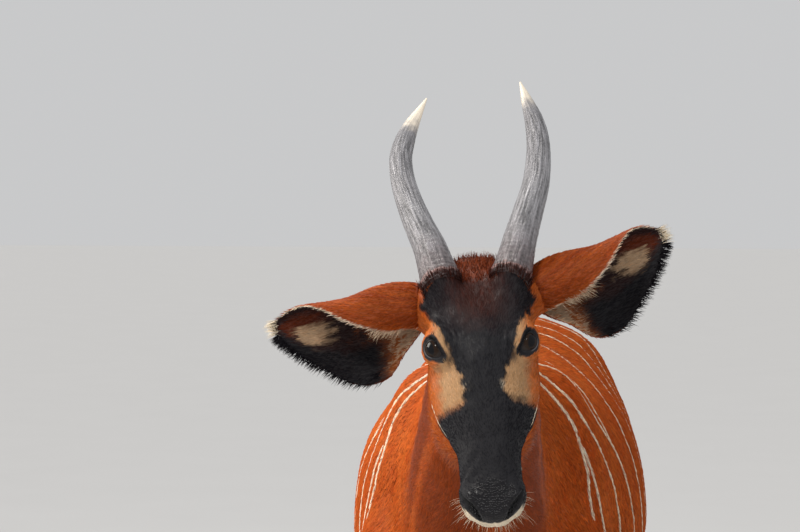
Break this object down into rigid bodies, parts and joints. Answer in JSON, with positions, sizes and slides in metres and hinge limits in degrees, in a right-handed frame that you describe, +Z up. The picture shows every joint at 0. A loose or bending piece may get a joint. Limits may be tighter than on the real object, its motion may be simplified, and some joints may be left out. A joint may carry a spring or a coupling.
{
  "type": "bongo antelope",
  "caption": "Life-size still model of a young bongo antelope standing square with its head lowered, for display.",
  "frame": {"origin": "on the floor, under the middle of the whole animal's box", "axes": "+Z up, the animal faces -Y, its left side is +X"},
  "size_m": [0.5296, 1.7134, 1.4785],
  "materials": {
    "coat": "short glossy chestnut hair",
    "face": "very short dark hair and bare moist nose leather",
    "horn": "grey grained horn with ivory tips",
    "eye": "wet and glossy",
    "hoof": "satin dark hoof"
  },
  "bodies": {
    "root": {"head": "face", "neck": "coat", "torso": "coat", "tail": "coat", "leg_front_left": "coat", "leg_front_right": "coat", "leg_hind_left": "coat", "leg_hind_right": "coat", "ear_left": "coat", "eye_left": "eye", "horn_left": "horn", "ear_right": "coat", "eye_right": "eye", "horn_right": "horn", "hoof_front_left_outer": "hoof", "dewclaw_front_left_outer": "hoof", "hoof_front_left_inner": "hoof", "dewclaw_front_left_inner": "hoof", "hoof_front_right_outer": "hoof", "dewclaw_front_right_outer": "hoof", "hoof_front_right_inner": "hoof", "dewclaw_front_right_inner": "hoof", "hoof_hind_left_outer": "hoof", "dewclaw_hind_left_outer": "hoof", "hoof_hind_left_inner": "hoof", "dewclaw_hind_left_inner": "hoof", "hoof_hind_right_outer": "hoof", "dewclaw_hind_right_outer": "hoof", "hoof_hind_right_inner": "hoof", "dewclaw_hind_right_inner": "hoof"}
  },
  "joints": []
}
